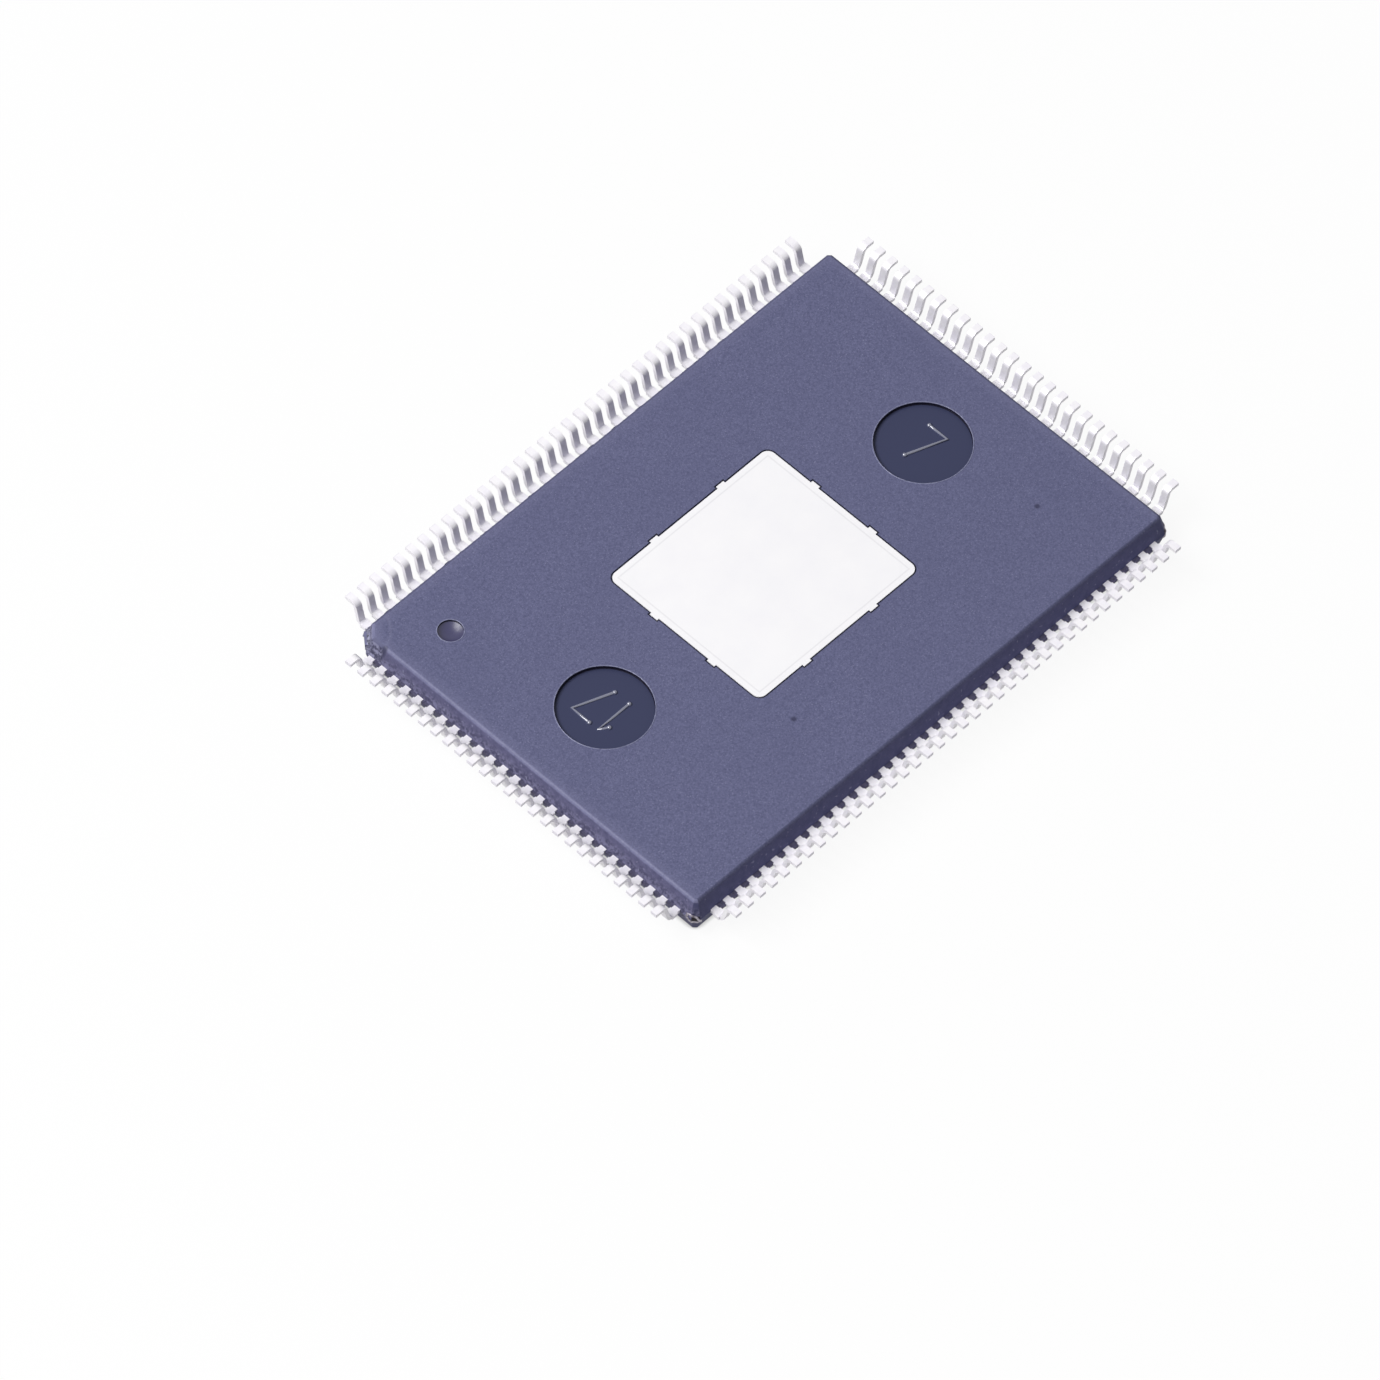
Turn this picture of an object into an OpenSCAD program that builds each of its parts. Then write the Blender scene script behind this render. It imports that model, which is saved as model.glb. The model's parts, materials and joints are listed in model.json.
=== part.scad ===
// Quad flat pack with gull-wing leads and an exposed pad, lying on its marking face.
// Millimetres. The origin is the centre of the marking face, +X runs along the long side.

/* [Lead rows] */
// Leads along each long side
long_leads = 38; // [34:2:42]
// Leads along each short side
short_leads = 26; // [22:2:30]
// Spacing of the leads, centre to centre
lead_pitch = 0.5; // [0.48:0.01:0.55]
// Space from the last lead's centre line to the corner of the body
corner_space = 0.75; // [0.7:0.05:1]
// Width of a lead at its foot
lead_w = 0.23; // [0.17:0.01:0.25]
// Width of a lead where the dam bar was cut away
stub_w = 0.3; // [0.26:0.01:0.34]
// Space between the body and the cut dam bar
stub_from = 0.12; // [0.08:0.01:0.16]
// Thickness of the lead-frame sheet
sheet = 0.127; // [0.1:0.001:0.15]
// Reach of a lead beyond the body
lead_reach = 1; // [0.95:0.01:1.1]
// Flat length of a lead before its first bend
shoulder = 0.29; // [0.25:0.01:0.3]
// Inner radius of a lead's two bends
bend_r = 0.12; // [0.08:0.01:0.14]
// Slope of a lead's riser, in degrees
riser_slope = 76; // [70:1:82]
// Height of the solder faces above the face of the body
stand_off = 0.1; // [0.05:0.01:0.15]

/* [Inner fingers and tie bars] */
// Straight root of a finger inside the body
finger_in = 0.2; // [0.15:0.01:0.3]
// Space between the edge of the pad and the ring of finger tips, at the middle of a side
ring_space = 1.4; // [1.2:0.05:1.8]
// Angle left free for a tie bar in each corner of the ring
tie_gap = 8; // [7:0.5:10]
// Width of a tie bar
tie_w = 0.2; // [0.15:0.01:0.25]
// Length of a tie bar's root on the pad
tie_root = 0.54; // [0.4:0.02:0.8]
// Compound over the root of a tie bar
tie_cover = 0.05; // [0.04:0.005:0.06]
// Sheet of the pad under the root of a tie bar
tie_floor = 0.02; // [0.01:0.005:0.03]
// Slope of a tie bar, in degrees
tie_slope = 40; // [30:1:50]

/* [Body] */
// Thickness of the body
body_thick = 1.4; // [1.35:0.05:1.5]
// Draft of the side walls, in degrees
draft = 15; // [8:1:16]
// Chamfer of three corners, along each side
corner_cut = 0.2; // [0.14:0.02:0.4]
// Chamfer of the gate corner, along each side
gate_cut = 0.5; // [0.4:0.02:0.6]
// Rounding of the edges of both faces
edge_r = 0.14; // [0.05:0.01:0.16]

/* [Marks on the body] */
// Diameter of the two ejector-pin marks
pin_d = 3; // [2.4:0.05:3.2]
// Depth of the ejector-pin marks
pin_depth = 0.13; // [0.05:0.01:0.16]
// Distance of an ejector-pin mark from the body's short side
pin_inset = 3.25; // [2.4:0.05:3.6]
// Distance of the left ejector-pin mark from the middle line
pin_stray = 0.1; // [0:0.01:0.15]
// Diameter of the dimple on the exposed face
dimple_d = 0.82; // [0.6:0.02:1]
// Depth of the dimple on the exposed face
dimple_depth = 0.2; // [0.08:0.01:0.25]
// Height of the straight wall round the bowl of the dimple
dimple_wall = 0.07; // [0.03:0.01:0.07]
// Diameter of the first-lead mark on the marking face
mark_d = 1; // [0.8:0.05:1.2]
// Depth of the first-lead mark on the marking face
mark_depth = 0.06; // [0.04:0.01:0.1]
// Distance of dimple and first-lead mark from both sides of their corner
dimple_inset = 2; // [1.6:0.1:2.4]
// Width of the broken gate
gate_w = 0.5; // [0.4:0.02:0.6]
// Height of the broken gate
gate_h = 0.24; // [0.16:0.01:0.3]
// Length of the broken gate at its long edge
gate_out = 0.06; // [0.04:0.01:0.16]
// Length of the broken gate at its short edge
gate_short = 0.02; // [0.01:0.01:0.06]

/* [Exposed pad] */
// Length of the exposed pad
pad_l = 6.7; // [6:0.05:7.2]
// Width of the exposed pad
pad_w = 6.18; // [5.6:0.02:6.6]
// Corner radius of the exposed pad
pad_r = 0.27; // [0.2:0.01:0.4]
// Length of a lock nub along the edge of the pad
nub_l = 0.3; // [0.2:0.02:0.4]
// Reach of a lock nub beyond the edge of the pad
nub_h = 0.08; // [0.05:0.01:0.12]
// Distance of the nubs on the long edges from the middle
nub_x = 1.4; // [1:0.05:1.8]
// Distance of the nubs on the short edges from the middle
nub_y = 1.17; // [0.8:0.05:1.5]
// Width of the groove round the pad
groove_w = 0.05; // [0.03:0.005:0.08]
// Depth of the groove round the pad
groove_depth = 0.03; // [0.02:0.005:0.035]

/* [Die and bond wires] */
// Thickness of the silicon die
die_thick = 0.28; // [0.2:0.01:0.32]
// Space between the edge of the die and the edge of the pad
die_margin = 1; // [0.8:0.05:1.3]
// Thickness of the adhesive under the die
attach_thick = 0.025; // [0.015:0.005:0.04]
// Width of the adhesive that shows round the die
attach_lip = 0.06; // [0.04:0.01:0.1]
// Diameter of a bond wire
wire_d = 0.03; // [0.02:0.005:0.035]
// How much wider than the wire its ball and its stitch are
ball_spread = 0.042; // [0.03:0.002:0.05]
// How much higher than the wire its ball and its stitch are
ball_rise = 0.006; // [0.004:0.001:0.01]
// Distance of the balls from the edge of the die
bond_inset = 0.1; // [0.08:0.01:0.15]
// Distance of a row's outer balls from the corner of the die
bond_margin = 0.2; // [0.2:0.01:0.3]
// Distance of a stitch from the tip of its finger
stitch_in = 0.2; // [0.15:0.01:0.3]
// Depth of the wires below the lead frame
loop_drop = 0.15; // [0.1:0.01:0.2]

/* [Hidden] */
$fn = 48;

// Body: half sizes at the parting line, which lies in the middle of the lead frame
half_l = (long_leads - 1) * lead_pitch / 2 + corner_space;
half_w = (short_leads - 1) * lead_pitch / 2 + corner_space;
mid_z = body_thick / 2;
edge_steps = 6;
beyond = 1;

// Lead frame: the levels of its two faces
sheet_top = mid_z + sheet / 2;
sheet_low = mid_z - sheet / 2;

// Lead: middle line from the shoulder to the foot
foot_top = body_thick + stand_off;
bend_mid = bend_r + sheet / 2;
lead_rise = foot_top - sheet / 2 - mid_z;
bend_rise = bend_mid * (1 - cos(riser_slope));
bend_run = bend_mid * sin(riser_slope);
bend_steps = 6;
riser_l = (lead_rise - 2 * bend_rise) / sin(riser_slope);
riser_run = riser_l * cos(riser_slope);
foot_start = shoulder + 2 * bend_run + riser_run;
stub_to = shoulder + bend_r / 2;

// Fan of inner fingers: their tips lie on an ellipse, with a gap at each corner for a tie bar
ring_l = pad_l / 2 + ring_space;
ring_w = pad_w / 2 + ring_space;
fan_step = (90 - tie_gap) / ((long_leads + short_leads) / 2 - 1);
tip_w = min(ring_l, ring_w) * fan_step * PI / 180 / 2;

// Tie bars: straight bars through the gaps of the ring to the corners
tie_turn = 90 - (long_leads - 1) / 2 * fan_step - tie_gap / 2;
tie_ring = [ring_l * cos(tie_turn), ring_w * sin(tie_turn)];
tie_corner = [half_l - corner_cut / 2, half_w - corner_cut / 2];
tie_way = (tie_corner - tie_ring) / norm(tie_corner - tie_ring);
tie_turn_z = atan2(tie_way[1], tie_way[0]);

// Stack under the pad, from the pad's inner face down to the face of the die
paddle_low = body_thick - sheet;
attach_low = paddle_low - attach_thick;
die_low = attach_low - die_thick;
die_l = pad_l - 2 * die_margin;
die_w = pad_w - 2 * die_margin;

// Bond wires: ball on the die, loop below the fingers, stitch on the finger
ball_d = wire_d + ball_spread;
ball_h = wire_d + ball_rise;
neck_d = wire_d + ball_rise;
loop_z = sheet_low - loop_drop;

// Dimple: height of its bowl under the straight wall, and radius of the bowl's sphere
bowl_h = dimple_depth - dimple_wall;
bowl_r = (pow(dimple_d / 2, 2) + pow(bowl_h, 2)) / (2 * bowl_h);

function reversed(list) = [for (i = [len(list) - 1 : -1 : 0]) list[i]];
function unit(v) = v / norm(v);
function left_of(v) = [-v[1], v[0]];

// Upper rounded edge of a wall that stands at the distance reach on the parting line
function edge_arc(reach) =
    let (
        centre_z = body_thick - edge_r,
        centre_x = reach - (centre_z - mid_z) * tan(draft) - edge_r / cos(draft)
    )
    [
        for (k = [0 : edge_steps])
            let (turn = draft + (90 - draft) * k / edge_steps)
            [centre_x + edge_r * cos(turn), centre_z + edge_r * sin(turn)]
    ];

// One wall in section, from the lower face to the upper face
function wall_side(reach) =
    let (upper = edge_arc(reach))
    concat(
        [for (p = reversed(upper)) [p[0], body_thick - p[1]]],
        [[reach, mid_z]],
        upper
    );

// Section through two opposite walls
function wall_section(reach, back_reach) =
    concat(wall_side(reach), [for (p = reversed(wall_side(back_reach))) [-p[0], p[1]]]);

// Place of the lead numbered i in a row, and the angle of its finger's tip
function lead_u(i, count) = (i - (count - 1) / 2) * lead_pitch;
function fan_turn(i, count) = (i - (count - 1) / 2) * fan_step;

// Tip of a finger that lies the angle turn away from the middle of its side
function finger_tip(turn, ring_u, ring_v) = [ring_u * sin(turn), ring_v * cos(turn)];

// Outline of one lead seen from above: foot, cut dam bar, straight root and slanted finger
function lead_outline(u, wall, tip) =
    let (
        knee = [u, wall - finger_in],
        side = left_of(unit(tip - knee)),
        mitre = unit([1, 0] + side),
        knee_off = mitre * lead_w / 2 / mitre[0],
        right = [
            [lead_w / 2, lead_reach],
            [lead_w / 2, stub_to],
            [stub_w / 2, stub_to],
            [stub_w / 2, stub_from],
            [lead_w / 2, stub_from]
        ]
    )
    concat(
        [for (p = right) [u + p[0], wall + p[1]]],
        [knee + knee_off, tip + side * tip_w / 2, tip - side * tip_w / 2, knee - knee_off],
        [for (p = reversed(right)) [u - p[0], wall + p[1]]]
    );

// One face of the formed sheet in section, from the middle of the body out to the tip of the foot
function sheet_face(wall, level, low_r, high_r) =
    let (
        low_centre = [wall + shoulder, mid_z + bend_mid],
        high_centre = [wall + foot_start, foot_top - sheet / 2 - bend_mid],
        turns = [for (k = [0 : bend_steps]) riser_slope * k / bend_steps]
    )
    concat(
        [[0, mid_z + level]],
        [for (turn = turns) low_centre + low_r * [sin(turn), -cos(turn)]],
        [for (turn = reversed(turns)) high_centre + high_r * [-sin(turn), cos(turn)]],
        [[wall + lead_reach, foot_top - sheet / 2 + level]]
    );

// Section of the formed sheet
module sheet_section(wall) {
    upper = sheet_face(wall, sheet / 2, bend_r, bend_r + sheet);
    lower = sheet_face(wall, -sheet / 2, bend_r + sheet, bend_r);
    polygon(concat(upper, reversed(lower)));
}

// One row of leads: the formed sheet, cut to the outlines of the leads
module lead_row(count, wall, ring_u, ring_v) {
    row_l = count * lead_pitch;
    intersection() {
        rotate([90, 0, 90])
            linear_extrude(row_l, center = true)
                sheet_section(wall);
        linear_extrude(foot_top + beyond)
            for (i = [0 : count - 1])
                polygon(lead_outline(lead_u(i, count), wall, finger_tip(fan_turn(i, count), ring_u, ring_v)));
    }
}

module long_lead_row() {
    lead_row(long_leads, half_w, ring_l, ring_w);
}

module short_lead_row() {
    mirror([1, -1, 0])
        lead_row(short_leads, half_l, ring_w, ring_l);
}

// One bond wire: ball and neck on the die, straight span, stitch on the finger
module bond_wire(ball, stitch) {
    way = stitch - ball;
    span = norm(way);
    climb = sheet_low - ball_h / 2 - loop_z;
    neck_low = loop_z - neck_d / 2;
    translate([ball[0], ball[1], die_low - ball_h])
        cylinder(d = ball_d, h = ball_h);
    translate([ball[0], ball[1], neck_low])
        cylinder(d = neck_d, h = die_low - ball_h / 2 - neck_low);
    translate([ball[0], ball[1], loop_z])
        rotate([0, atan2(span, climb), atan2(way[1], way[0])])
            cylinder(d = wire_d, h = norm([span, climb]));
    translate([stitch[0], stitch[1], sheet_low - ball_h])
        cylinder(d = ball_d, h = ball_h);
}

// Wires of one row, from the edge of the die to the fingers
module wire_row(count, wall, ring_u, ring_v, die_u, die_v) {
    bond_pitch = (die_u - 2 * bond_margin) / (count - 1);
    for (i = [0 : count - 1]) {
        tip = finger_tip(fan_turn(i, count), ring_u, ring_v);
        knee = [lead_u(i, count), wall - finger_in];
        ball = [(i - (count - 1) / 2) * bond_pitch, die_v / 2 - bond_inset];
        bond_wire(ball, tip + stitch_in * unit(knee - tip));
    }
}

module long_wire_row() {
    wire_row(long_leads, half_w, ring_l, ring_w, die_l, die_w);
}

module short_wire_row() {
    mirror([1, -1, 0])
        wire_row(short_leads, half_l, ring_w, ring_l, die_w, die_l);
}

// Outline of the exposed pad with its lock nubs, grown by the given amount
module pad_outline(grow) {
    size_x = pad_l + 2 * grow;
    size_y = pad_w + 2 * grow;
    corner = pad_r + grow;
    square([size_x - 2 * corner, size_y], center = true);
    square([size_x, size_y - 2 * corner], center = true);
    for (sx = [-1, 1])
        for (sy = [-1, 1])
            translate([sx * (size_x / 2 - corner), sy * (size_y / 2 - corner)])
                circle(r = corner);
    for (side = [-1, 1]) {
        translate([side * nub_x, 0])
            square([nub_l + 2 * grow, size_y + 2 * nub_h], center = true);
        translate([0, side * nub_y])
            square([size_x + 2 * nub_h, nub_l + 2 * grow], center = true);
    }
}

// One tie bar: root under the face, slope down to the lead frame, straight run past the corner
module tie_bar() {
    root_top = body_thick - tie_cover;
    root_low = paddle_low + tie_floor;
    drop = root_top - sheet_top;
    slope_run = drop / tan(tie_slope);
    slope_from = (pad_l / 2 - tie_ring[0]) / tie_way[0];
    root_from = slope_from - tie_root;
    run_to = norm(tie_corner - tie_ring) + beyond;
    translate([tie_ring[0], tie_ring[1], 0])
        rotate([90, 0, tie_turn_z])
            linear_extrude(tie_w, center = true)
                polygon([
                    [root_from, root_low],
                    [slope_from, root_low],
                    [slope_from + slope_run * (root_low - sheet_low) / drop, sheet_low],
                    [run_to, sheet_low],
                    [run_to, sheet_top],
                    [slope_from + slope_run, sheet_top],
                    [slope_from, root_top],
                    [root_from, root_top]
                ]);
}

// Solid between two opposite walls, the first of which faces the angle turn
module wall_pair(turn, reach, back_reach, long_way) {
    rotate([90, 0, turn])
        linear_extrude(long_way, center = true)
            polygon(wall_section(reach, back_reach));
}

// Outer shape of the body: drafted walls and corners that meet at the parting line
module body_block() {
    long_way = 2 * (half_l + half_w);
    corner_reach = (half_l + half_w - corner_cut) / sqrt(2);
    gate_reach = (half_l + half_w - gate_cut) / sqrt(2);
    intersection() {
        wall_pair(0, half_l, half_l, long_way);
        wall_pair(90, half_w, half_w, long_way);
        wall_pair(45, corner_reach, corner_reach, long_way);
        wall_pair(135, gate_reach, corner_reach, long_way);
    }
}

// Marks pressed into the faces: ejector pins, dimple, groove round the pad and first-lead mark
module face_marks() {
    pin_x = half_l - pin_inset;
    for (side = [-1, 1])
        translate([side * pin_x, side < 0 ? -pin_stray : 0, body_thick - pin_depth])
            cylinder(d = pin_d, h = beyond);
    translate([dimple_inset - half_l, half_w - dimple_inset, body_thick - dimple_depth])
        intersection() {
            cylinder(d = dimple_d, h = dimple_depth + dimple_d / 2);
            translate([0, 0, bowl_r])
                sphere(r = bowl_r);
        }
    translate([dimple_inset - half_l, half_w - dimple_inset, mark_depth - beyond])
        cylinder(d = mark_d, h = beyond);
    translate([0, 0, body_thick - groove_depth])
        linear_extrude(beyond)
            pad_outline(groove_w);
}

// Broken end of the moulding gate, on the chamfer above the tie bar
module gate_end() {
    root = (sheet_top + gate_h - mid_z) * tan(draft) + gate_out;
    translate([gate_cut / 2 - half_l, half_w - gate_cut / 2, sheet_top])
        rotate(45)
            linear_extrude(gate_h)
                polygon([
                    [-gate_w / 2, -root],
                    [gate_w / 2, -root],
                    [gate_w / 2, gate_out],
                    [-gate_w / 2, gate_short]
                ]);
}

module mould_body() {
    color([0.28, 0.28, 0.4])
        difference() {
            union() {
                difference() {
                    body_block();
                    face_marks();
                }
                gate_end();
            }
            die_paddle();
            die_attach();
            silicon_die();
            leads_front();
            leads_back();
            leads_left();
            leads_right();
            wires_front();
            wires_back();
            wires_left();
            wires_right();
        }
}

module die_paddle() {
    color([0.92, 0.92, 0.94]) {
        translate([0, 0, paddle_low])
            linear_extrude(sheet)
                pad_outline(0);
        intersection() {
            for (sx = [0, 1])
                for (sy = [0, 1])
                    mirror([sx, 0, 0])
                        mirror([0, sy, 0])
                            tie_bar();
            body_block();
        }
    }
}

module die_attach() {
    color([0.75, 0.75, 0.7])
        translate([-die_l / 2 - attach_lip, -die_w / 2 - attach_lip, attach_low])
            cube([die_l + 2 * attach_lip, die_w + 2 * attach_lip, attach_thick]);
}

module silicon_die() {
    color([0.35, 0.36, 0.4])
        translate([-die_l / 2, -die_w / 2, die_low])
            cube([die_l, die_w, die_thick]);
}

module leads_front() {
    color([0.88, 0.88, 0.9])
        mirror([0, 1, 0])
            long_lead_row();
}

module leads_back() {
    color([0.88, 0.88, 0.9])
        long_lead_row();
}

module leads_left() {
    color([0.88, 0.88, 0.9])
        mirror([1, 0, 0])
            short_lead_row();
}

module leads_right() {
    color([0.88, 0.88, 0.9])
        short_lead_row();
}

module wires_front() {
    color([0.85, 0.65, 0.3])
        mirror([0, 1, 0])
            long_wire_row();
}

module wires_back() {
    color([0.85, 0.65, 0.3])
        long_wire_row();
}

module wires_left() {
    color([0.85, 0.65, 0.3])
        mirror([1, 0, 0])
            short_wire_row();
}

module wires_right() {
    color([0.85, 0.65, 0.3])
        short_wire_row();
}

mould_body();
die_paddle();
die_attach();
silicon_die();
leads_front();
leads_back();
leads_left();
leads_right();
wires_front();
wires_back();
wires_left();
wires_right();
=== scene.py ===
import json
import math
import random

import bmesh
import bpy
from mathutils import Matrix, Vector

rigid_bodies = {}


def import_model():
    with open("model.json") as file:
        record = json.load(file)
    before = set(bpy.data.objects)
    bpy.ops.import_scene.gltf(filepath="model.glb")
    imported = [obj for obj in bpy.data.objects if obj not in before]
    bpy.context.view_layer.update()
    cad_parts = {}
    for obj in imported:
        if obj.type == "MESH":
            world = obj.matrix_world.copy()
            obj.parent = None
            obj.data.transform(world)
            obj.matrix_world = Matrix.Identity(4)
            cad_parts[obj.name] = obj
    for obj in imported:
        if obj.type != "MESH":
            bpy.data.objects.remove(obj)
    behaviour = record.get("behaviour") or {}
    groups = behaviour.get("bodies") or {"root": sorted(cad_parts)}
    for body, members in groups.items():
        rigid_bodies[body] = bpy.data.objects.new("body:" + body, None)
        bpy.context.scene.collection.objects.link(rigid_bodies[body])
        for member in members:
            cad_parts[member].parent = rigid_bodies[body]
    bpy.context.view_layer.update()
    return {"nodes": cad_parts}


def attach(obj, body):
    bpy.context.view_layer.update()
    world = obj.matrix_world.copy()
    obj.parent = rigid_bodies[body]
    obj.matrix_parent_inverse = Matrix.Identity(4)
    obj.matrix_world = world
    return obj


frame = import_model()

cad_nodes = frame["nodes"]

# DIE PADDLE
# A copper island, stamped from the lead frame and pushed down so that one side stays bare in the
# moulding. It is plated with matt tin, and its four tie bars run through the compound to the corners.
MM = 0.001
PAD_HALF = (3.35, 3.09)
COINED = 0.2
COIN_LINE = (0.012, 0.035)
COIN_SHADE = 0.14
TIE_END = 9.4
PAD_CRYSTAL_H = 0.004
MIDDLE_TONES = (0.3, 0.7)


def linear(level):
    share = level / 255
    return ((share + 0.055) / 1.055) ** 2.4 if share > 0.04045 else share / 12.92


def srgb(red, green, blue):
    return (linear(red), linear(green), linear(blue), 1.0)


def start_finish(name):
    finish = bpy.data.materials.new(name)
    finish.use_nodes = True
    tree = finish.node_tree
    return finish, tree, tree.nodes["Principled BSDF"]


def fill(tree, node, inputs):
    for key, value in inputs.items():
        if isinstance(value, bpy.types.NodeSocket):
            tree.links.new(value, node.inputs[key])
        else:
            node.inputs[key].default_value = value


def put(tree, kind, inputs=None, **settings):
    node = tree.nodes.new(kind)
    for key, value in settings.items():
        setattr(node, key, value)
    fill(tree, node, inputs or {})
    return node


def calc(tree, operation, *values):
    return put(tree, "ShaderNodeMath", dict(enumerate(values)), operation=operation).outputs[0]


def ramp(tree, value, low, high):
    limits = {"Value": value, "From Min": low, "From Max": high}
    return put(tree, "ShaderNodeMapRange", limits, clamp=True).outputs["Result"]


def fade(tree, value, low, high):
    return calc(tree, "SUBTRACT", 1.0, ramp(tree, value, low, high))


def between(tree, value, low, high):
    limits = {"Value": value, "To Min": low, "To Max": high}
    return put(tree, "ShaderNodeMapRange", limits).outputs["Result"]


def blend(tree, factor, first, second):
    node = put(tree, "ShaderNodeMix", {0: factor, 6: first, 7: second}, data_type="RGBA")
    return node.outputs[2]


def tint(tree, under, mask, amount, colour):
    return blend(tree, calc(tree, "MULTIPLY", mask, amount), under, colour)


def millimetres(tree):
    place = put(tree, "ShaderNodeTexCoord").outputs["Object"]
    scaled = put(tree, "ShaderNodeVectorMath", {0: place, "Scale": 1 / MM}, operation="SCALE").outputs[0]
    parts = put(tree, "ShaderNodeSeparateXYZ", {0: scaled})
    return scaled, parts.outputs["X"], parts.outputs["Y"], parts.outputs["Z"]


def grain(tree, vector, scale, detail, roughness=0.6):
    values = {"Vector": vector, "Scale": scale, "Detail": detail, "Roughness": roughness}
    return put(tree, "ShaderNodeTexNoise", values).outputs["Fac"]


def bump(tree, height, strength, depth):
    values = {"Height": height, "Strength": strength, "Distance": depth * MM}
    return put(tree, "ShaderNodeBump", values).outputs[0]


def dress(name, finish):
    slots = cad_nodes[name].data.materials
    for index in range(len(slots)):
        slots[index] = finish
    if not slots:
        slots.append(finish)


def tin_plate(tree, place, crystal_scale, cloud_scale, dull, bright):
    crystals = grain(tree, place, crystal_scale, detail=4, roughness=0.7)
    cloud = ramp(tree, grain(tree, place, cloud_scale, detail=2), *MIDDLE_TONES)
    return crystals, blend(tree, cloud, srgb(*dull), srgb(*bright))


def matt_tin():
    finish, tree, skin = start_finish("matt_tin")
    place, x, y, _ = millimetres(tree)
    far_x = calc(tree, "ABSOLUTE", x)
    far_y = calc(tree, "ABSOLUTE", y)
    crystals, plate = tin_plate(tree, place, crystal_scale=22, cloud_scale=0.9,
                                dull=(248, 247, 250), bright=(251, 250, 252))
    past_x = calc(tree, "SUBTRACT", far_x, PAD_HALF[0] - COINED)
    past_y = calc(tree, "SUBTRACT", far_y, PAD_HALF[1] - COINED)
    from_line = calc(tree, "ABSOLUTE", calc(tree, "MAXIMUM", past_x, past_y))
    plate = tint(tree, plate, fade(tree, from_line, *COIN_LINE), COIN_SHADE, srgb(150, 148, 160))
    cut_end = calc(tree, "GREATER_THAN", far_x, TIE_END)
    plate = blend(tree, cut_end, plate, srgb(44, 38, 42))
    fill(tree, skin, {
        "Base Color": plate,
        "Metallic": 0.12,
        "Specular IOR Level": 0.3,
        "Roughness": between(tree, crystals, 0.65, 0.8),
        "Normal": bump(tree, crystals, strength=0.25, depth=PAD_CRYSTAL_H),
    })
    return finish


dress("die_paddle", matt_tin())

# DIE ATTACH AND DIE
# A film of silver-filled epoxy, squeezed out a little round the chip, holds the silicon die on the
# paddle. The die's working face is away from the pad, and the moulding hides all of it.


def mottled(name, dark, light, noise, values, tones=(0.0, 1.0)):
    finish, tree, skin = start_finish(name)
    place = millimetres(tree)[0]
    patches = ramp(tree, grain(tree, place, **noise), *tones)
    fill(tree, skin, {"Base Color": blend(tree, patches, srgb(*dark), srgb(*light)), **values})
    return finish


def silicon():
    finish, tree, skin = start_finish("silicon")
    place = millimetres(tree)[0]
    blocks = put(tree, "ShaderNodeTexBrick", {
        "Vector": place,
        "Color1": srgb(52, 54, 66),
        "Color2": srgb(66, 62, 74),
        "Mortar": srgb(110, 106, 96),
        "Scale": 3.0,
        "Mortar Size": 0.01,
    })
    fill(tree, skin, {"Base Color": blocks.outputs["Color"], "Metallic": 0.6, "Roughness": 0.15})
    return finish


silver_epoxy = mottled("silver_epoxy", (150, 150, 146), (196, 196, 190), {"scale": 30, "detail": 3},
                       {"Metallic": 0.4, "Roughness": 0.5})
dress("die_attach", silver_epoxy)
dress("silicon_die", silicon())

# BOND WIRES
# Thin gold wire runs from each pad of the die to its lead finger, with a ball at the die and a flat
# stitch at the finger. All of it lies in the moulding.
gold_wire = mottled("gold_wire", (214, 170, 84), (236, 196, 110), {"scale": 60, "detail": 2},
                    {"Metallic": 1.0, "Roughness": 0.25})
for row in ("wires_front", "wires_back", "wires_left", "wires_right"):
    dress(row, gold_wire)

# LEADS
# Copper leads, stamped with the paddle, bright tin plated outside the body and bent to gull wings.
# The dam bar that joined them is punched away, and each foot ends in a bare sheared face.
TIP_X = 10.985
TIP_Y = 7.985
LEAD_CRYSTAL_H = 0.003


def bright_tin():
    finish, tree, skin = start_finish("bright_tin")
    place, x, y, _ = millimetres(tree)
    crystals, plate = tin_plate(tree, place, crystal_scale=26, cloud_scale=3.0,
                                dull=(247, 244, 252), bright=(254, 252, 255))
    tip_x = calc(tree, "GREATER_THAN", calc(tree, "ABSOLUTE", x), TIP_X)
    tip_y = calc(tree, "GREATER_THAN", calc(tree, "ABSOLUTE", y), TIP_Y)
    plate = blend(tree, calc(tree, "MAXIMUM", tip_x, tip_y), plate, srgb(238, 235, 244))
    fill(tree, skin, {
        "Base Color": plate,
        "Metallic": 0.2,
        "Roughness": between(tree, crystals, 0.34, 0.48),
        "Normal": bump(tree, crystals, strength=0.2, depth=LEAD_CRYSTAL_H),
    })
    return finish


lead_finish = bright_tin()
for row in ("leads_front", "leads_back", "leads_left", "leads_right"):
    dress(row, lead_finish)

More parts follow.
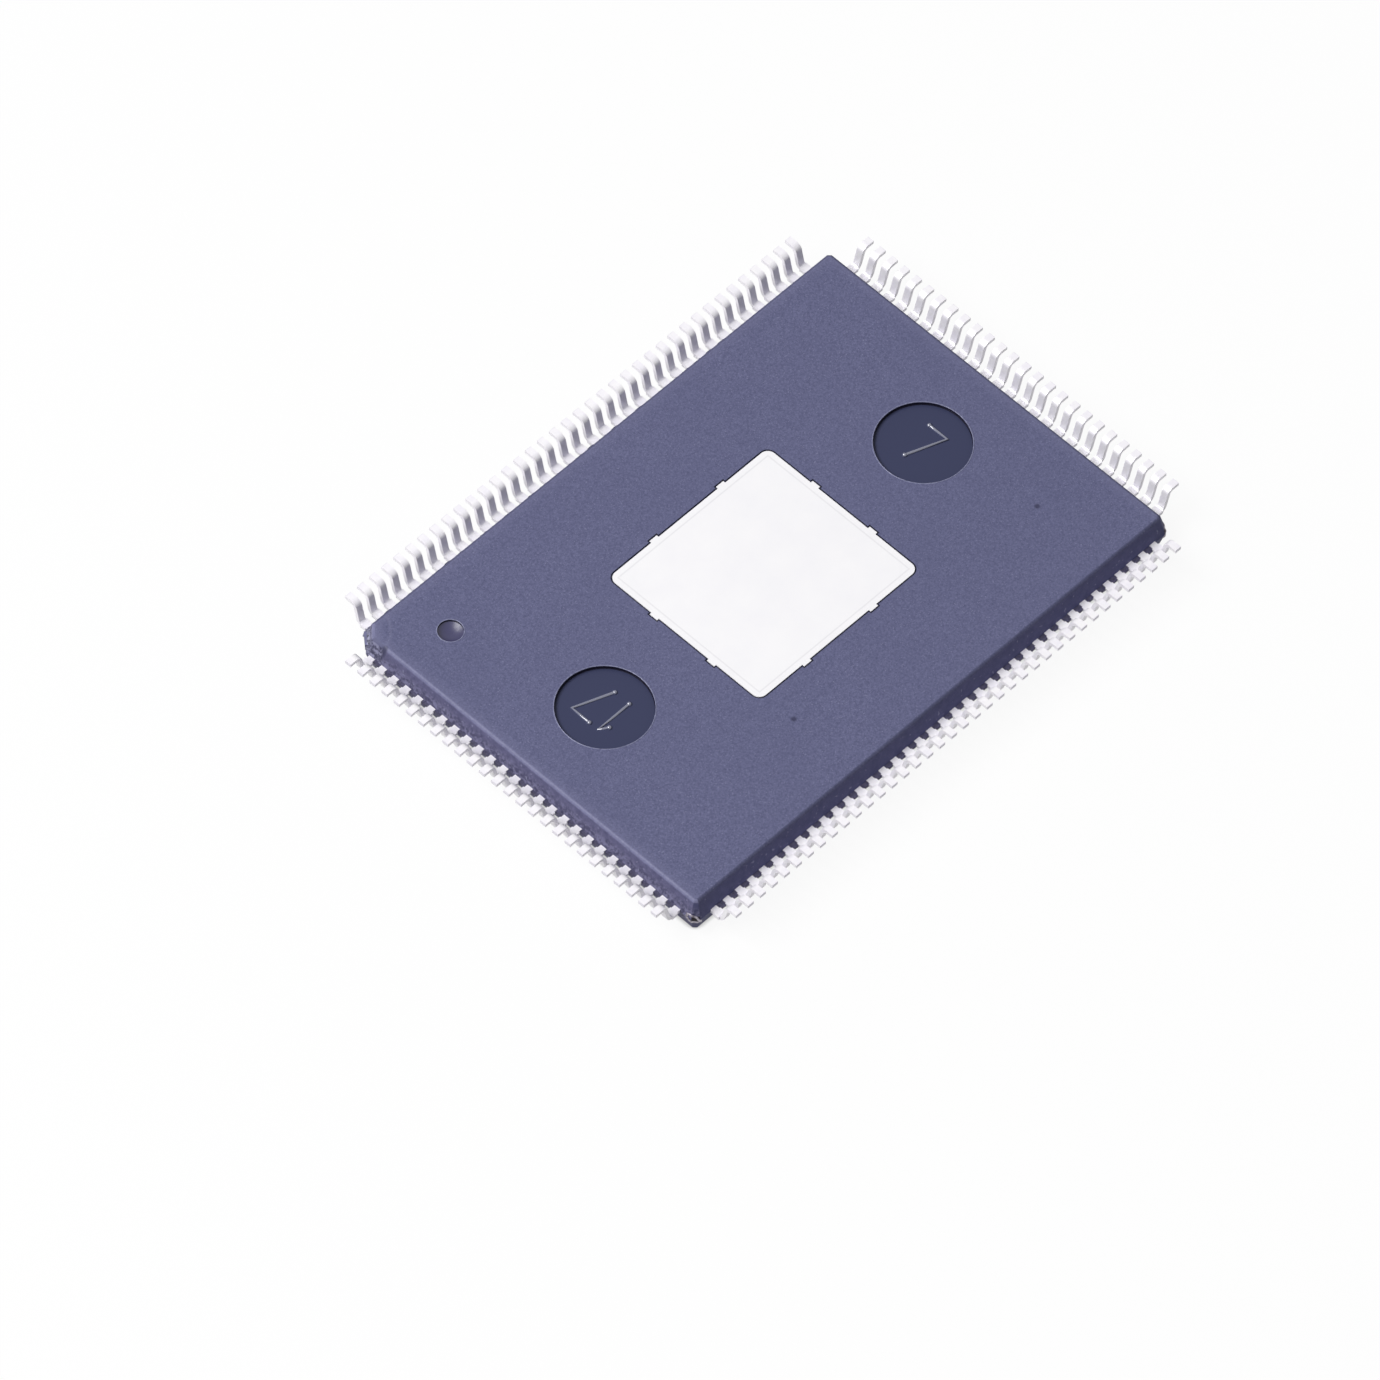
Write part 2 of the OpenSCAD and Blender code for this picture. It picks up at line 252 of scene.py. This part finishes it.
# MOULDED BODY
# Dark epoxy compound pressed round the lead frame. The steel mould is spark eroded, so its faces are
# finely grained, but the ejector pins and the ball that makes the dimple are ground smooth.
FACE_Z = 1.4
MID_Z = 0.7
SUNK_TOP = FACE_Z - 0.004
SUNK_END = FACE_Z - 0.22
PIN_PLACES = ((-6.75, -0.1), (6.75, 0.0))
PIN_R = 1.5
PIN_CLEAR = 0.02
PIN_STEP = 0.03
DIMPLE = (-8.0, 5.0)
DIMPLE_R = 0.41
DIMPLE_CLEAR = 0.01
DIMPLE_STEP = 0.02
GROOVE_X = 3.6
GROOVE_Y = 3.35
GATE_CORNER = (-10.0, 7.0)
GATE_R = 1.08
GATE_RING = (0.0, 0.07)
GATE_PALE = (0.45, 0.95)
GATE_NOTCH = (-9.82, 5.91)
NOTCH_EDGE = (0.05, 0.12)
SHEEN_BAND_X = (9.4, 9.8)
SHEEN_BAND_Y = (6.4, 6.8)
PITS = ((7.47, -3.97), (-3.13, -4.27))
PIT_EDGE = (0.05, 0.11)
TIE_HOLE = (9.9, 6.9)
TIE_HOLE_EDGE = (0.1, 0.15)
GRIT_REACH = (0.2, 0.5)
EDGE_BOTTOM = FACE_Z - 0.1
EDGE_START = (0.3, 0.5)
EDGE_STOP = (0.93, 0.985)
SIDE_ON = 0.5
EDGE_ON = 0.1
SPARK_H = 0.012
SOFT_RIM = 0.02
PALE = srgb(134, 134, 166)
PAINTED_PIT_SHADE = srgb(52, 52, 76)


def times(tree, *values):
    product = values[0]
    for value in values[1:]:
        product = calc(tree, "MULTIPLY", product, value)
    return product


def without(tree, mask, amount):
    return calc(tree, "SUBTRACT", 1.0, calc(tree, "MULTIPLY", mask, amount))


def reach(tree, x, y, centre):
    across = calc(tree, "SUBTRACT", x, centre[0])
    along = calc(tree, "SUBTRACT", y, centre[1])
    return calc(tree, "SQRT", calc(tree, "ADD", times(tree, across, across), times(tree, along, along)))


def compound():
    finish, tree, skin = start_finish("mould_compound")
    place, x, y, z = millimetres(tree)
    far_x = calc(tree, "ABSOLUTE", x)
    far_y = calc(tree, "ABSOLUTE", y)
    level = calc(tree, "ABSOLUTE", calc(tree, "SUBTRACT", z, MID_Z))
    normal = put(tree, "ShaderNodeTexCoord").outputs["Normal"]
    facing = put(tree, "ShaderNodeSeparateXYZ", {0: normal}).outputs

    def under(value, limit):
        return calc(tree, "LESS_THAN", value, limit)

    def over(value, limit):
        return calc(tree, "GREATER_THAN", value, limit)

    # The grain of the mould, and the specks and chips of filler in the compound.
    fine = grain(tree, place, scale=16, detail=4, roughness=0.75)
    specks = ramp(tree, grain(tree, place, scale=22, detail=1), low=0.66, high=0.72)
    broad = ramp(tree, grain(tree, place, scale=0.35, detail=2), *MIDDLE_TONES)
    mottle = ramp(tree, grain(tree, place, scale=5, detail=4, roughness=0.75), *MIDDLE_TONES)
    chips = ramp(tree, grain(tree, place, scale=8, detail=3, roughness=0.7), low=0.42, high=0.58)
    flecks = ramp(tree, grain(tree, place, scale=7, detail=2), low=0.66, high=0.7)

    # The pin marks, the dimple and the groove round the pad lie just below the face.
    pins = calc(tree, "MINIMUM", *(reach(tree, x, y, pin) for pin in PIN_PLACES))
    dimple = reach(tree, x, y, DIMPLE)
    sunk = times(tree, under(z, SUNK_TOP), over(z, SUNK_END))
    on_pins = times(tree, under(pins, PIN_R + PIN_CLEAR), sunk)
    in_dimple = times(tree, under(dimple, DIMPLE_R + DIMPLE_CLEAR), sunk)
    in_groove = times(tree, sunk, under(far_x, GROOVE_X), under(far_y, GROOVE_Y))
    smooth = calc(tree, "MAXIMUM", on_pins, in_dimple)
    pin_wall = times(tree, on_pins, over(pins, PIN_R - PIN_STEP))
    dimple_wall = times(tree, in_dimple, over(dimple, DIMPLE_R - DIMPLE_STEP))

    # The broken gate, the rim of the face and the walls. The rim facing -X is smoother and carries a
    # painted highlight, a pale band near the edges is painted sheen, and the other rims and the -Y walls
    # carry painted shade.
    from_gate = reach(tree, x, y, GATE_CORNER)
    in_gate = under(from_gate, GATE_R)
    from_ring = calc(tree, "ABSOLUTE", calc(tree, "SUBTRACT", from_gate, GATE_R))
    painted_edge_sheen = calc(tree, "MAXIMUM", ramp(tree, far_x, *SHEEN_BAND_X), ramp(tree, y, *SHEEN_BAND_Y))
    wall = fade(tree, facing["Z"], *EDGE_START)
    rolled = times(tree, ramp(tree, facing["Z"], *EDGE_START), fade(tree, facing["Z"], *EDGE_STOP))
    edge = times(tree, rolled, over(z, EDGE_BOTTOM))
    gate_edge = times(tree, in_gate, under(facing["Y"], EDGE_ON))
    worn_and_highlit_edge = times(tree, edge, under(facing["X"], -EDGE_ON), without(tree, gate_edge, amount=0.7))
    front = times(tree, wall, under(facing["Y"], -SIDE_ON))
    gritty = times(tree, wall, under(facing["X"], -SIDE_ON), fade(tree, level, *GRIT_REACH))
    notch = fade(tree, reach(tree, x, y, GATE_NOTCH), *NOTCH_EDGE)
    hole = calc(tree, "MAXIMUM", reach(tree, far_x, far_y, TIE_HOLE), level)

    wall_tone = blend(tree, mottle, srgb(76, 74, 106), srgb(107, 105, 138))
    grit_tone = blend(tree, chips, srgb(60, 58, 82), srgb(130, 128, 158))
    gate_tone = blend(tree, chips, srgb(58, 57, 78), srgb(160, 160, 188))
    base = blend(tree, ramp(tree, fine, *MIDDLE_TONES), srgb(82, 84, 115), srgb(116, 118, 152))
    for mask, amount, tone in (
        (specks, 0.6, srgb(146, 147, 176)),
        (broad, 0.25, srgb(92, 94, 126)),
        (fade(tree, from_ring, *GATE_RING), 0.3, srgb(132, 132, 162)),
        (fade(tree, from_gate, *GATE_PALE), 0.4, PALE),
        # Painted sheen: a pale band along both ends and the +Y side of the face.
        (painted_edge_sheen, 0.25, PALE),
        # Painted shade on the rolled edges that don't face -X.
        (calc(tree, "SUBTRACT", edge, worn_and_highlit_edge), 0.45, srgb(56, 56, 80)),
        # Painted highlight on the rolled edge that faces -X.
        (times(tree, worn_and_highlit_edge, mottle), 0.65, PALE),
        # The walls take a darker, more purple tone than the face: partly their own tint, partly painted
        # shade.
        (wall, 0.85, wall_tone),
        # Painted shade on the walls that face -Y.
        (front, 0.6, srgb(72, 75, 114)),
        (gritty, 0.65, grit_tone),
        (times(tree, wall, in_gate), 0.6, gate_tone),
        # Painted shade of a small notch by the gate.
        (notch, 0.7, PAINTED_PIT_SHADE),
        (times(tree, flecks, wall), 0.5, srgb(150, 150, 176)),
        # Painted shade of two small pits in the face.
        *((fade(tree, reach(tree, x, y, pit), *PIT_EDGE), 0.75, PAINTED_PIT_SHADE) for pit in PITS),
        (in_groove, 1.0, srgb(40, 41, 58)),
        # Painted shade of the tie bar hole at each corner.
        (fade(tree, hole, *TIE_HOLE_EDGE), 1.0, srgb(26, 24, 30)),
        (in_dimple, 1.0, srgb(52, 50, 90)),
        (on_pins, 1.0, srgb(60, 64, 92)),
        # Painted shade on the walls of the pin marks and the dimple.
        (calc(tree, "MAXIMUM", pin_wall, dimple_wall), 1.0, srgb(34, 33, 52)),
    ):
        base = tint(tree, base, mask, amount, tone)

    rough = between(tree, fine, 0.5, 0.7)
    for mask, amount in ((edge, 0.8), (worn_and_highlit_edge, 0.27), (smooth, 0.35)):
        rough = put(tree, "ShaderNodeMix", {0: mask, 2: rough, 3: amount}).outputs[0]
    rise = times(tree, fine, without(tree, smooth, amount=0.9))
    sparked = bump(tree, rise, strength=0.3, depth=SPARK_H)
    soft_rim = put(tree, "ShaderNodeBevel", {"Radius": SOFT_RIM * MM, "Normal": sparked}, samples=4)
    fill(tree, skin, {
        "Base Color": base,
        "Specular IOR Level": 0.14,
        "Roughness": rough,
        "Coat Weight": times(tree, calc(tree, "SUBTRACT", in_dimple, dimple_wall), 0.9),
        "Coat Roughness": 0.33,
        "Coat IOR": 1.55,
        "Normal": soft_rim.outputs[0],
    })
    return finish


dress("mould_body", compound())

# CAVITY NUMBERS
# Thin raised strokes that the engraved ejector pins leave on the floors of the two round marks.
# They are plain numbers, so that a bad cavity of the mould can be told from the rest.
PIN_FLOOR = 1.27
STROKE_R = 0.06
STROKE_END = 0.085
NUMBER_H = 1.3
NUMBER_STEP = 0.72
FIGURES = {
    "1": [[(-0.14, 0.78), (0.0, 1.0), (0.0, 0.0)]],
    "7": [[(-0.28, 1.0), (0.28, 1.0), (-0.1, 0.0)]],
}
NUMBERS = (("cavity_number_left", "17", PIN_PLACES[0], 90), ("cavity_number_right", "7", PIN_PLACES[1], -90))
TUBE_SIDES = 10
END_ROUNDS = 2
scene_objects = bpy.context.scene.collection.objects


def start_tree(name, sizes):
    tree = bpy.data.node_groups.new(name, "GeometryNodeTree")
    for label, kind in (("Geometry", "Geometry"), *sizes):
        tree.interface.new_socket(label, in_out="INPUT", socket_type="NodeSocket" + kind)
    tree.interface.new_socket("Geometry", in_out="OUTPUT", socket_type="NodeSocketGeometry")
    return tree, put(tree, "NodeGroupInput").outputs


def end_tree(tree, shape, finish):
    painted = put(tree, "GeometryNodeSetMaterial", {"Geometry": shape, "Material": finish})
    put(tree, "NodeGroupOutput", {0: painted.outputs[0]})
    return tree


def tube_tree(finish):
    tree, given = start_tree("tubes_" + finish.name, (("Tube radius", "Float"), ("End radius", "Float")))
    path = put(tree, "GeometryNodeMeshToCurve", {"Mesh": given["Geometry"]}).outputs[0]
    section = put(tree, "GeometryNodeCurvePrimitiveCircle",
                  {"Radius": given["Tube radius"], "Resolution": TUBE_SIDES}).outputs[0]
    tube = put(tree, "GeometryNodeCurveToMesh",
               {"Curve": path, "Profile Curve": section, "Fill Caps": True}).outputs[0]
    ends = put(tree, "GeometryNodeCurveEndpointSelection", {"Start Size": 1, "End Size": 1}).outputs[0]
    ball = put(tree, "GeometryNodeMeshIcoSphere",
               {"Radius": given["End radius"], "Subdivisions": END_ROUNDS}).outputs["Mesh"]
    drops = put(tree, "GeometryNodeInstanceOnPoints",
                {"Points": path, "Selection": ends, "Instance": ball}).outputs[0]
    both = put(tree, "GeometryNodeJoinGeometry", {0: tube})
    tree.links.new(drops, both.inputs[0])
    whole = put(tree, "GeometryNodeRealizeInstances", {"Geometry": both.outputs[0]}).outputs[0]
    smooth = put(tree, "GeometryNodeSetShadeSmooth", {"Geometry": whole, "Shade Smooth": True}).outputs[0]
    return end_tree(tree, smooth, finish)


def seat(name, mesh):
    piece = bpy.data.objects.new(name, mesh)
    scene_objects.link(piece)
    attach(piece, "root")


def grow(name, draft, tree, values):
    holder = bpy.data.objects.new(name + "_draft", draft)
    scene_objects.link(holder)
    modifier = holder.modifiers.new("grow", "NODES")
    modifier.node_group = tree
    for item in tree.interface.items_tree:
        if item.name in values:
            modifier[item.identifier] = values[item.name]
    view = bpy.context.evaluated_depsgraph_get()
    mesh = bpy.data.meshes.new_from_object(holder.evaluated_get(view))
    mesh.name = name
    bpy.data.objects.remove(holder)
    bpy.data.meshes.remove(draft)
    seat(name, mesh)


def line_mesh(name, lines, closed=False):
    points = []
    edges = []
    for line in lines:
        first = len(points)
        points += [tuple(point * MM) for point in line]
        edges += [(first + k, first + k + 1) for k in range(len(line) - 1)]
        if closed:
            edges.append((len(points) - 1, first))
    mesh = bpy.data.meshes.new(name + "_lines")
    mesh.from_pydata(points, edges, [])
    return mesh


def draw_tubes(name, lines, tree, radius, end_radius, closed=False):
    sizes = {"Tube radius": radius * MM, "End radius": end_radius * MM}
    grow(name, line_mesh(name, lines, closed), tree, sizes)


def number_lines(figures, centre, turn):
    spin = Matrix.Rotation(turn, 4, "Z")
    on_floor = Vector((*centre, PIN_FLOOR))
    lines = []
    for index, figure in enumerate(figures):
        shift = (index - (len(figures) - 1) / 2) * NUMBER_STEP
        for stroke in FIGURES[figure]:
            flat = [Vector((across * NUMBER_H + shift, (up - 0.5) * NUMBER_H, 0)) for across, up in stroke]
            lines.append([spin @ point + on_floor for point in flat])
    return lines


pressed_stroke = mottled("pressed_stroke", (74, 78, 106), (92, 96, 126), {"scale": 20, "detail": 3}, {
    "Roughness": 0.2,
    "Specular IOR Level": 1.0,
    "Coat Weight": 1.0,
    "Coat Roughness": 0.1,
    "Coat IOR": 1.9,
})
strokes = tube_tree(pressed_stroke)
for name, figures, centre, turn in NUMBERS:
    lines = number_lines(figures, centre, math.radians(turn))
    draw_tubes(name, lines, strokes, STROKE_R, STROKE_END)

# EJECTOR RIMS
# A thin bead of resin that creeps into the clearance round each ejector pin and round the ball. It
# stands a little above the face and shines where it is rounded; its pale tone is painted highlight.
RIM_R = 0.02
RIM_Z = FACE_Z - 0.25 * RIM_R
RIM_POINTS = 72
RIMS = (("pin_rim_left", PIN_PLACES[0], PIN_R), ("pin_rim_right", PIN_PLACES[1], PIN_R),
        ("dimple_rim", DIMPLE, DIMPLE_R))


def circle(centre, radius, z):
    turns = [math.tau * k / RIM_POINTS for k in range(RIM_POINTS)]
    return [Vector((centre[0] + radius * math.cos(turn), centre[1] + radius * math.sin(turn), z))
            for turn in turns]


# The bead is paler than the face; the difference is painted highlight.
bead_resin_and_sheen = mottled("bead_resin_and_sheen", (98, 100, 132), (140, 142, 174), {"scale": 10, "detail": 3},
                     {"Roughness": 0.3}, MIDDLE_TONES)
beads = tube_tree(bead_resin_and_sheen)
for name, centre, radius in RIMS:
    draw_tubes(name, [circle(centre, radius, RIM_Z)], beads, RIM_R, RIM_R, closed=True)

# MOULD FLASH
# Resin that the press squeezes between the leads as far as the dam bar. The punch that cuts the bar
# away breaks most of it off, and an uneven edge stays in each gap. Its dark tone is painted shade.
PITCH = 0.5
GAP_W = 0.29
FLASH_T = 0.1
RAGGED = 0.05
LEFT_OVER = (0.75, 1.2)
# Each row has its name, gaps, turn in degrees, place of its wall, depth and seed.
FLASH_ROWS = (("flash_front", 37, 0, -7.0, 0.15, 21), ("flash_back", 37, 0, 7.0, 0.12, 22),
              ("flash_left", 25, 90, -10.0, 0.07, 23), ("flash_right", 25, 90, 10.0, 0.1, 24))


def flash_tree(finish):
    tree, given = start_tree("mould_flash", (("Flash size", "Vector"), ("Turn", "Float"),
                                             ("Raggedness", "Float"), ("Seed", "Int")))

    def vector(operation, first, key, second):
        return put(tree, "ShaderNodeVectorMath", {0: first, key: second}, operation=operation).outputs[0]

    block = put(tree, "GeometryNodeMeshCube",
                {"Size": given["Flash size"], "Vertices X": 5, "Vertices Y": 3, "Vertices Z": 3})
    turned = put(tree, "ShaderNodeCombineXYZ", {"Z": given["Turn"]}).outputs[0]
    spin = put(tree, "FunctionNodeEulerToRotation", {0: turned}).outputs[0]
    left_over = put(tree, "FunctionNodeRandomValue",
                    {2: LEFT_OVER[0], 3: LEFT_OVER[1], "Seed": given["Seed"]}, data_type="FLOAT").outputs[1]
    stretch = put(tree, "ShaderNodeCombineXYZ", {"X": 1.0, "Y": left_over, "Z": 1.0}).outputs[0]
    placed = put(tree, "GeometryNodeInstanceOnPoints",
                 {"Points": given["Geometry"], "Instance": block.outputs["Mesh"],
                  "Rotation": spin, "Scale": stretch}).outputs[0]
    whole = put(tree, "GeometryNodeRealizeInstances", {"Geometry": placed}).outputs[0]
    place = vector("SCALE", put(tree, "GeometryNodeInputPosition").outputs[0], "Scale", 1 / MM)
    noise = put(tree, "ShaderNodeTexNoise", {"Vector": place, "Scale": 9.0, "Detail": 2.0})
    middle = vector("SUBTRACT", noise.outputs["Color"], 1, (0.5, 0.5, 0.5))
    shift = vector("SCALE", middle, "Scale", given["Raggedness"])
    torn = put(tree, "GeometryNodeSetPosition", {"Geometry": whole, "Offset": shift}).outputs[0]
    return end_tree(tree, torn, finish)


# The flash is darker than the compound; the difference is painted shade between the leads.
flash_resin_and_shade = mottled("flash_resin_and_shade", (70, 68, 90), (94, 91, 117), {"scale": 14, "detail": 3},
                      {"Roughness": 0.6, "Specular IOR Level": 0.2}, MIDDLE_TONES)
webs = flash_tree(flash_resin_and_shade)
for name, gaps, turn, wall_at, depth, seed in FLASH_ROWS:
    steps = [(k - (gaps - 1) / 2) * PITCH for k in range(gaps)]
    middles = [Vector((wall_at, step, MID_Z) if turn else (step, wall_at, MID_Z)) for step in steps]
    grow(name, line_mesh(name, [middles]), webs, {
        "Flash size": (GAP_W * MM, 2 * depth * MM, FLASH_T * MM),
        "Turn": math.radians(turn),
        "Raggedness": RAGGED * MM,
        "Seed": seed,
    })

# TIE BAR ENDS
# The tie bars are punched off at the corners of the finished body. The punch chips the compound
# there, and the torn metal stands up in an uneven rim round a hole, whose darkness is painted shade.
HALF_L = 10.0
HALF_W = 7.0
CORNER_CUT = 0.2
DRAFT = math.tan(math.radians(15))
ROOT2 = math.sqrt(2)
TORN_R = 0.034
TORN_W = 0.2
TORN_H = 0.13
TORN_SHIFT = 0.05
TORN_SLANT = 0.4
TORN_UNEVEN_W = (0.85, 1.15)
TORN_UNEVEN_H = (0.8, 1.2)
TORN_LIFT = (-0.015, 0.02)
TORN_POINTS = 20
DARK_TO_LIGHT = (0.35, 0.65)
TORN_RIMS = (("tie_rim_near", -1, -1, 3), ("tie_rim_right", 1, -1, 8), ("tie_rim_far", 1, 1, 12))


def on_corner(side_x, side_y, cut, along, z, lift=0.0):
    lean = abs(z - MID_Z) * DRAFT
    across = (HALF_L - HALF_W) / ROOT2 + along
    out = min((HALF_L + HALF_W - cut) / ROOT2 - lean,
              ROOT2 * (HALF_L - lean) - across,
              ROOT2 * (HALF_W - lean) + across) + lift
    return Vector((side_x * (out + across) / ROOT2, side_y * (out - across) / ROOT2, z))


def torn_rim(side_x, side_y, seed):
    chance = random.Random(seed)
    rim = []
    for k in range(TORN_POINTS):
        turn = math.tau * k / TORN_POINTS
        wide = TORN_W * math.cos(turn) * chance.uniform(*TORN_UNEVEN_W)
        high = TORN_H * math.sin(turn) * chance.uniform(*TORN_UNEVEN_H) + TORN_SLANT * wide
        lift = chance.uniform(*TORN_LIFT)
        rim.append(on_corner(side_x, side_y, CORNER_CUT, TORN_SHIFT + wide, MID_Z + high, lift))
    return rim


torn_metal = mottled("torn_metal", (92, 84, 96), (212, 207, 218),
                     {"scale": 9, "detail": 3, "roughness": 0.7},
                     {"Metallic": 0.4, "Roughness": 0.38}, DARK_TO_LIGHT)
torn_tubes = tube_tree(torn_metal)
for name, side_x, side_y, seed in TORN_RIMS:
    draw_tubes(name, [torn_rim(side_x, side_y, seed)], torn_tubes, TORN_R, TORN_R, closed=True)

# GATE FLAKES
# The runner of the mould is snapped off at one corner. Thin flakes of compound stay there, and the
# broken place is rough.
GATE_CUT = 0.5
FLAKES = 18
FLAKE_SIDES = 6
FLAKE_SEED = 5
FLAKE_ALONG = (-0.3, 0.3)
FLAKE_Z = (0.66, 1.2)
FLAKE_SIZE = (0.06, 0.15)
FLAKE_ROOT = -0.04
FLAKE_LIFT = (0.02, 0.08)
FLAKE_TAPER = (0.25, 0.7)
FLAKE_UNEVEN = (0.7, 1.3)
FLAKE_FLAT = 0.7
SLIVER_R = 0.026
SLIVER = ((-0.33, 1.16, -0.02), (-0.34, 1.06, 0.03), (-0.31, 0.94, 0.05), (-0.3, 0.82, 0.075),
          (-0.27, 0.74, 0.08))


def on_gate(along, z, lift):
    return on_corner(-1, 1, GATE_CUT, along, z, lift)


def gate_flakes(name, finish):
    chance = random.Random(FLAKE_SEED)
    shards = bmesh.new()
    for _ in range(FLAKES):
        along = chance.uniform(*FLAKE_ALONG)
        z = chance.uniform(*FLAKE_Z)
        size = chance.uniform(*FLAKE_SIZE)
        spin = chance.uniform(0, math.tau)
        rings = []
        for lift, taper in ((FLAKE_ROOT, 1.0), (chance.uniform(*FLAKE_LIFT), chance.uniform(*FLAKE_TAPER))):
            ring = []
            for j in range(FLAKE_SIDES):
                turn = spin + math.tau * j / FLAKE_SIDES
                far = size * taper * chance.uniform(*FLAKE_UNEVEN)
                point = on_gate(along + far * math.cos(turn), z + FLAKE_FLAT * far * math.sin(turn), lift)
                ring.append(shards.verts.new(point * MM))
            rings.append(ring)
        root, top = rings
        for j in range(FLAKE_SIDES):
            after = (j + 1) % FLAKE_SIDES
            shards.faces.new((root[j], root[after], top[after], top[j]))
        shards.faces.new(top)
        shards.faces.new(list(reversed(root)))
    bmesh.ops.recalc_face_normals(shards, faces=shards.faces)
    mesh = bpy.data.meshes.new(name)
    shards.to_mesh(mesh)
    shards.free()
    mesh.materials.append(finish)
    seat(name, mesh)


broken_compound = mottled("broken_compound", (40, 40, 56), (160, 160, 190),
                          {"scale": 12, "detail": 4, "roughness": 0.7}, {"Roughness": 0.55}, DARK_TO_LIGHT)
gate_flakes("gate_flakes", broken_compound)
sliver_line = [on_gate(*point) for point in SLIVER]
draw_tubes("gate_sliver", [sliver_line], tube_tree(broken_compound), SLIVER_R, SLIVER_R)

# FLOOR, LIGHT AND CAMERA
# A wide white table in a white room, a soft lamp high on the left, and a long lens that looks down
# on the near corner.
WHITE = (1.0, 1.0, 1.0, 1.0)
PAPER_LIT = (0.5, 0.5, 0.5, 1.0)
PAPER_SEEN = (0.95, 0.95, 0.95, 1.0)
PAPER_GLOW = 0.92
FLOOR_CORNERS = [(-6, -4, 0), (6, -4, 0), (0, 8, 0)]
CONTACT = 0.3
ROOM_LIGHT = 0.23
CEILING_Z = 0.6
HORIZON = 0.45
LAMP_AWAY = 0.35
LAMP_TURN = math.radians(32)
LAMP_RISE = math.radians(54)
LAMP_SIZE = (0.32, 0.18)
LAMP_LEVEL = 0.99
VIEW_TURN = math.radians(-47.5766)
VIEW_RISE = math.radians(54.6524)
VIEW_ROLL = math.radians(2.3561)
VIEW_AWAY = 512.514
VIEW_LEFT = 2.0783
VIEW_DOWN = 2.6162
VIEW_SHIFT = Vector((0.035, -0.035, 0))
SENSOR_W = 36
LENS = 454.7
CLIP = (0.01, 20)


def seen_rays(tree):
    rays = put(tree, "ShaderNodeLightPath").outputs
    mirrored = calc(tree, "MAXIMUM", rays["Is Glossy Ray"], rays["Is Transmission Ray"])
    return rays["Is Camera Ray"], calc(tree, "MAXIMUM", rays["Is Camera Ray"], mirrored)


def floor_white():
    finish, tree, skin = start_finish("floor_white")
    tree.nodes.remove(skin)
    seen = seen_rays(tree)[1]
    paper = put(tree, "ShaderNodeBsdfDiffuse", {"Color": blend(tree, seen, PAPER_LIT, PAPER_SEEN)})
    # Ambient occlusion dims the floor's glow close to the object: a painted contact shadow.
    open_sky = put(tree, "ShaderNodeAmbientOcclusion", {"Distance": CONTACT * MM}, samples=16).outputs["AO"]
    white = put(tree, "ShaderNodeMapRange",
                {"Value": open_sky, "From Min": 0.3, "From Max": 0.62, "To Min": 0.5}).outputs[0]
    glow = put(tree, "ShaderNodeEmission", {"Color": WHITE, "Strength": white})
    mixed = put(tree, "ShaderNodeMixShader",
                {0: calc(tree, "MULTIPLY", seen, PAPER_GLOW), 1: paper.outputs[0], 2: glow.outputs[0]})
    fill(tree, tree.nodes["Material Output"], {"Surface": mixed.outputs[0]})
    return finish


floor_mesh = bpy.data.meshes.new("floor")
floor_mesh.from_pydata(FLOOR_CORNERS, [], [(0, 1, 2)])
floor_mesh.materials.append(floor_white())
floor = bpy.data.objects.new("floor", floor_mesh)
scene_objects.link(floor)

world = bpy.data.worlds.new("white_room")
bpy.context.scene.world = world
world.use_nodes = True
room = world.node_tree
camera_ray, seen_room = seen_rays(room)
direction = put(room, "ShaderNodeTexCoord").outputs["Object"]
height = put(room, "ShaderNodeSeparateXYZ", {0: direction}).outputs["Z"]
ceiling = put(room, "ShaderNodeMapRange",
              {"Value": height, "From Min": 0.0, "From Max": CEILING_Z, "To Min": HORIZON}).outputs[0]
shown = calc(room, "MAXIMUM", ceiling, camera_ray)
strength = put(room, "ShaderNodeMix", {0: seen_room, 2: ROOM_LIGHT, 3: shown}).outputs[0]
fill(room, room.nodes["Background"], {"Color": WHITE, "Strength": strength})

lamp_side = Vector((-math.cos(LAMP_RISE) * math.cos(LAMP_TURN),
                    math.cos(LAMP_RISE) * math.sin(LAMP_TURN),
                    math.sin(LAMP_RISE)))
lamp = bpy.data.lights.new("soft_lamp", "AREA")
lamp.shape = "ELLIPSE"
lamp.size, lamp.size_y = LAMP_SIZE
lamp.energy = LAMP_LEVEL * math.pi ** 2 * LAMP_AWAY ** 2
lamp_object = bpy.data.objects.new("soft_lamp", lamp)
lamp_object.location = lamp_side * LAMP_AWAY
lamp_object.rotation_euler = lamp_side.to_track_quat("Z", "Y").to_euler()
scene_objects.link(lamp_object)

back = Vector((math.sin(VIEW_TURN) * math.cos(VIEW_RISE),
               -math.cos(VIEW_TURN) * math.cos(VIEW_RISE),
               math.sin(VIEW_RISE)))
right = Vector((math.cos(VIEW_TURN), math.sin(VIEW_TURN), 0))
up = back.cross(right)
tilted_right = math.cos(VIEW_ROLL) * right + math.sin(VIEW_ROLL) * up
tilted_up = math.cos(VIEW_ROLL) * up - math.sin(VIEW_ROLL) * right
spot = back * VIEW_AWAY - tilted_right * VIEW_LEFT - tilted_up * VIEW_DOWN - VIEW_SHIFT
lens = bpy.data.cameras.new("view")
lens.sensor_width = SENSOR_W
lens.lens = LENS
lens.clip_start, lens.clip_end = CLIP
camera = bpy.data.objects.new("view", lens)
axes = Matrix((tilted_right, tilted_up, back)).transposed().to_4x4()
camera.matrix_world = Matrix.Translation(spot * MM) @ axes
scene_objects.link(camera)
bpy.context.scene.camera = camera
bpy.context.scene.view_settings.view_transform = "Standard"
